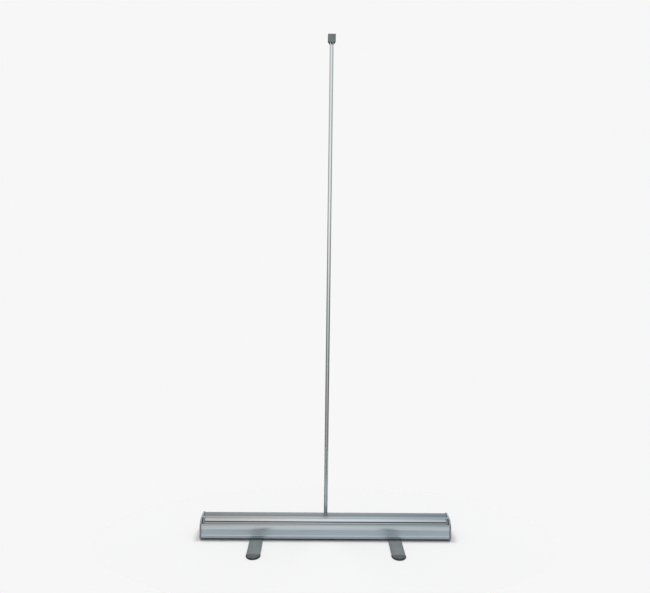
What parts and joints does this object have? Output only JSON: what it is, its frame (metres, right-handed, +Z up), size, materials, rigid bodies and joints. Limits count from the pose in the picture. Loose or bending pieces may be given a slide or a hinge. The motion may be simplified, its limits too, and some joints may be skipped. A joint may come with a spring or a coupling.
{
  "type": "roll-up banner stand",
  "caption": "Retractable banner stand: slotted aluminium cassette on swing-out feet, sectional pole with a hook head, and a clamp rail parked in the slot.",
  "frame": {"origin": "on the floor, midway between the feet and between the cassette's ends", "axes": "+Z up along the pole, +X along the cassette, -Y is the front, where the banner faces"},
  "size_m": [1.03, 0.346, 2.095],
  "materials": {
    "extrusion": "satin anodised, drawn lengthwise",
    "rail_extrusion": "bright satin anodised, drawn lengthwise",
    "pole_tube": "bright anodised tube",
    "roller": "mill finish tube",
    "end_plate_plastic": "fine-textured grey moulding",
    "plug_plastic": "satin grey moulding",
    "head_plastic": "satin grey-green moulding",
    "foot_metal": "satin grey powder coat",
    "foot_cap_plastic": "satin dark grey moulding",
    "inner_plastic": "black moulding",
    "pad_rubber": "matt",
    "zinc_steel": "zinc plated",
    "spring_steel": "oiled spring wire",
    "slip_nylon": "natural nylon",
    "banner_film": "matt blank white film",
    "leader_film": "matt dark film",
    "elastic": "braided elastic"
  },
  "bodies": {
    "cassette": {"housing": "extrusion", "end_plate_left": "end_plate_plastic", "end_plate_right": "end_plate_plastic", "end_screws_left": "zinc_steel", "end_screws_right": "zinc_steel", "pole_socket": "inner_plastic", "idle_pin": "zinc_steel", "spring_axle": "zinc_steel", "spring_hub": "inner_plastic", "foot_bolts": "zinc_steel", "foot_nuts": "zinc_steel", "foot_washers": "slip_nylon"},
    "foot_left": {"foot_bar_left": "foot_metal", "foot_cap_front_left": "foot_cap_plastic", "foot_cap_rear_left": "foot_cap_plastic", "foot_pads_left": "pad_rubber"},
    "foot_right": {"foot_bar_right": "foot_metal", "foot_cap_front_right": "foot_cap_plastic", "foot_cap_rear_right": "foot_cap_plastic", "foot_pads_right": "pad_rubber"},
    "roller": {"roller_tube": "roller", "roller_plug_left": "inner_plastic", "roller_plug_right": "inner_plastic", "lift_spring": "spring_steel", "leader_wrap": "leader_film", "banner_roll": "banner_film"},
    "rail": {"rail_front": "rail_extrusion", "rail_back": "rail_extrusion", "rail_plug_left": "plug_plastic", "rail_plug_right": "plug_plastic", "banner_hem": "banner_film", "banner_web": "banner_film"},
    "pole_lower": {"pole_lower": "pole_tube", "pole_foot_plug": "inner_plastic", "ferrule_lower": "roller"},
    "pole_middle": {"pole_middle": "pole_tube", "ferrule_upper": "roller", "bungee_cord": "elastic"},
    "pole_upper": {"pole_upper": "pole_tube", "cord_anchor": "inner_plastic", "pole_head": "head_plastic"}
  },
  "joints": [
    {"name": "foot_left_swing", "type": "hinge", "parent": "cassette", "child": "foot_left", "pos_m": [-0.283, 0, 0.003], "axis": [0, 0, 1], "range_deg": [0, 90]},
    {"name": "foot_right_swing", "type": "hinge", "parent": "cassette", "child": "foot_right", "pos_m": [0.283, 0, 0.003], "axis": [0, 0, 1], "range_deg": [-90, 0]},
    {"name": "rail_lift", "type": "slide", "parent": "cassette", "child": "rail", "axis": [0, 0.015, 0.9999], "range_m": [0, 2.025], "stiffness_N_per_m": 5, "springref_m": -2, "deforming": ["banner_web"]},
    {"name": "roller_spin", "type": "hinge", "parent": "cassette", "child": "roller", "pos_m": [0, 0.008, 0.036], "axis": [1, 0, 0], "range_deg": [-6400, 0]},
    {"name": "pole_lift", "type": "slide", "parent": "cassette", "child": "pole_lower", "axis": [0, 0, 1], "range_m": [0, 0.07]},
    {"name": "pole_middle_pull", "type": "slide", "parent": "pole_lower", "child": "pole_middle", "axis": [0, 0, 1], "range_m": [0, 0.048], "stiffness_N_per_m": 120, "springref_m": -0.1, "deforming": ["bungee_cord"]},
    {"name": "pole_upper_pull", "type": "slide", "parent": "pole_middle", "child": "pole_upper", "axis": [0, 0, 1], "range_m": [0, 0.048], "stiffness_N_per_m": 120, "springref_m": -0.1, "deforming": ["bungee_cord"]}
  ],
  "couplings": [
    {"joint": "roller_spin", "follows": "rail_lift", "rad_per_m": -54}
  ]
}
